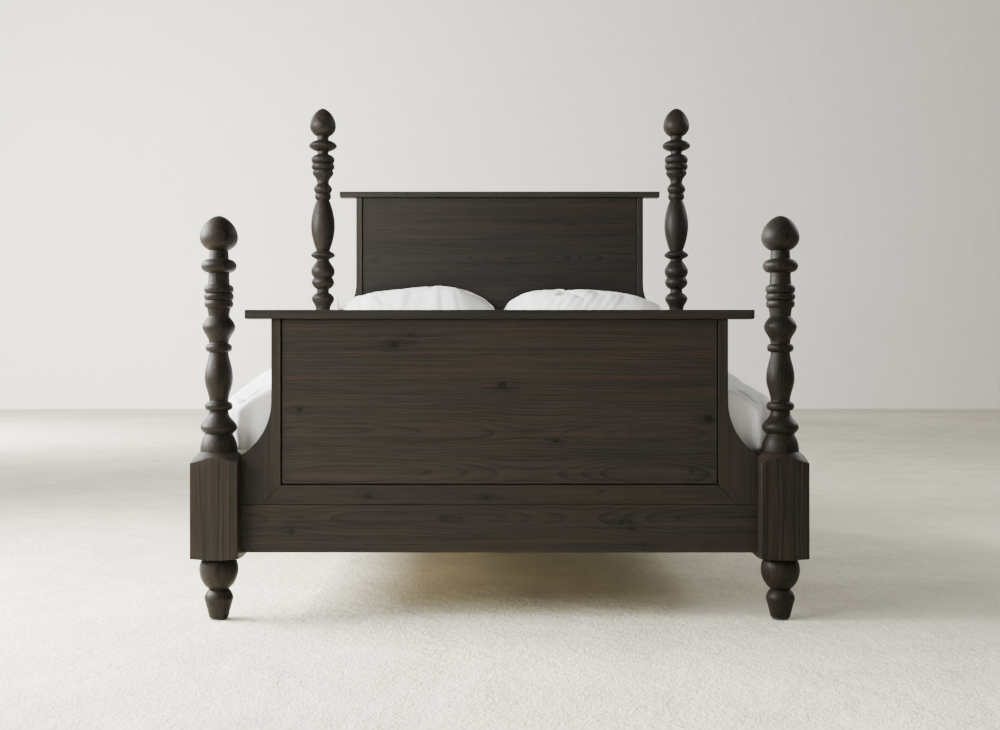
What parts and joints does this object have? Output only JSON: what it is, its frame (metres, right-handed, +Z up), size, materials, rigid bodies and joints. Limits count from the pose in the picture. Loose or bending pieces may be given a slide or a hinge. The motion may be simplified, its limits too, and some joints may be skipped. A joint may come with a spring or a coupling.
{
  "type": "four-poster bed",
  "caption": "Queen four-poster bed in dark knotty wood, turned posts with egg finials, panelled head and foot boards, slatted base, mattress, duvet and pillows.",
  "frame": {"origin": "on the floor under the middle of the bed", "axes": "+Z up, +Y from the foot end to the head end, +X to the right as seen from the foot end"},
  "size_m": [1.8, 2.33, 1.9565],
  "materials": {
    "dark_wood": "satin",
    "slat_wood": "matte",
    "steel": "satin",
    "nylon": "matte",
    "ticking": "matte",
    "mattress_cloth": "matte",
    "duvet_cotton": "matte",
    "pillow_cotton": "matte"
  },
  "bodies": {
    "bed_frame": {"beam_hanger_foot": "steel", "beam_hanger_head": "steel", "centre_beam": "slat_wood", "centre_leg": "slat_wood", "finial_foot_left": "dark_wood", "finial_foot_right": "dark_wood", "finial_head_left": "dark_wood", "finial_head_right": "dark_wood", "footboard_bottom_rail": "dark_wood", "footboard_cap": "dark_wood", "footboard_panel": "dark_wood", "footboard_stile_left": "dark_wood", "footboard_stile_right": "dark_wood", "footboard_sub_rail": "dark_wood", "glide_centre": "nylon", "glide_foot_left": "nylon", "glide_foot_right": "nylon", "glide_head_left": "nylon", "glide_head_right": "nylon", "headboard_bottom_rail": "dark_wood", "headboard_cap": "dark_wood", "headboard_panel": "dark_wood", "headboard_stile_left": "dark_wood", "headboard_stile_right": "dark_wood", "headboard_sub_rail": "dark_wood", "ledger_left": "slat_wood", "ledger_right": "slat_wood", "post_foot_left": "dark_wood", "post_foot_right": "dark_wood", "post_head_left": "dark_wood", "post_head_right": "dark_wood", "rail_hook_foot_left": "steel", "rail_hook_foot_right": "steel", "rail_hook_head_left": "steel", "rail_hook_head_right": "steel", "rail_keeper_foot_left": "steel", "rail_keeper_foot_right": "steel", "rail_keeper_head_left": "steel", "rail_keeper_head_right": "steel", "side_rail_left": "dark_wood", "side_rail_right": "dark_wood", "slat_01": "slat_wood", "slat_02": "slat_wood", "slat_03": "slat_wood", "slat_04": "slat_wood", "slat_05": "slat_wood", "slat_06": "slat_wood", "slat_07": "slat_wood", "slat_08": "slat_wood", "slat_09": "slat_wood", "slat_10": "slat_wood", "slat_11": "slat_wood", "slat_12": "slat_wood"},
    "foundation": {"foundation": "ticking"},
    "mattress": {"mattress": "mattress_cloth"},
    "duvet": {"duvet": "duvet_cotton"},
    "pillow_left": {"pillow_left": "pillow_cotton"},
    "pillow_right": {"pillow_right": "pillow_cotton"}
  },
  "joints": [
    {"name": "foundation_lift", "type": "slide", "parent": "bed_frame", "child": "foundation", "axis": [0, 0, 1], "range_m": [0, 0.3]},
    {"name": "mattress_lift", "type": "slide", "parent": "foundation", "child": "mattress", "axis": [0, 0, 1], "range_m": [0, 0.35]},
    {"name": "duvet_lift", "type": "slide", "parent": "mattress", "child": "duvet", "axis": [0, 0, 1], "range_m": [0, 0.4]},
    {"name": "pillow_left_lift", "type": "slide", "parent": "mattress", "child": "pillow_left", "axis": [0, 0, 1], "range_m": [0, 0.3]},
    {"name": "pillow_right_lift", "type": "slide", "parent": "mattress", "child": "pillow_right", "axis": [0, 0, 1], "range_m": [0, 0.3]}
  ]
}
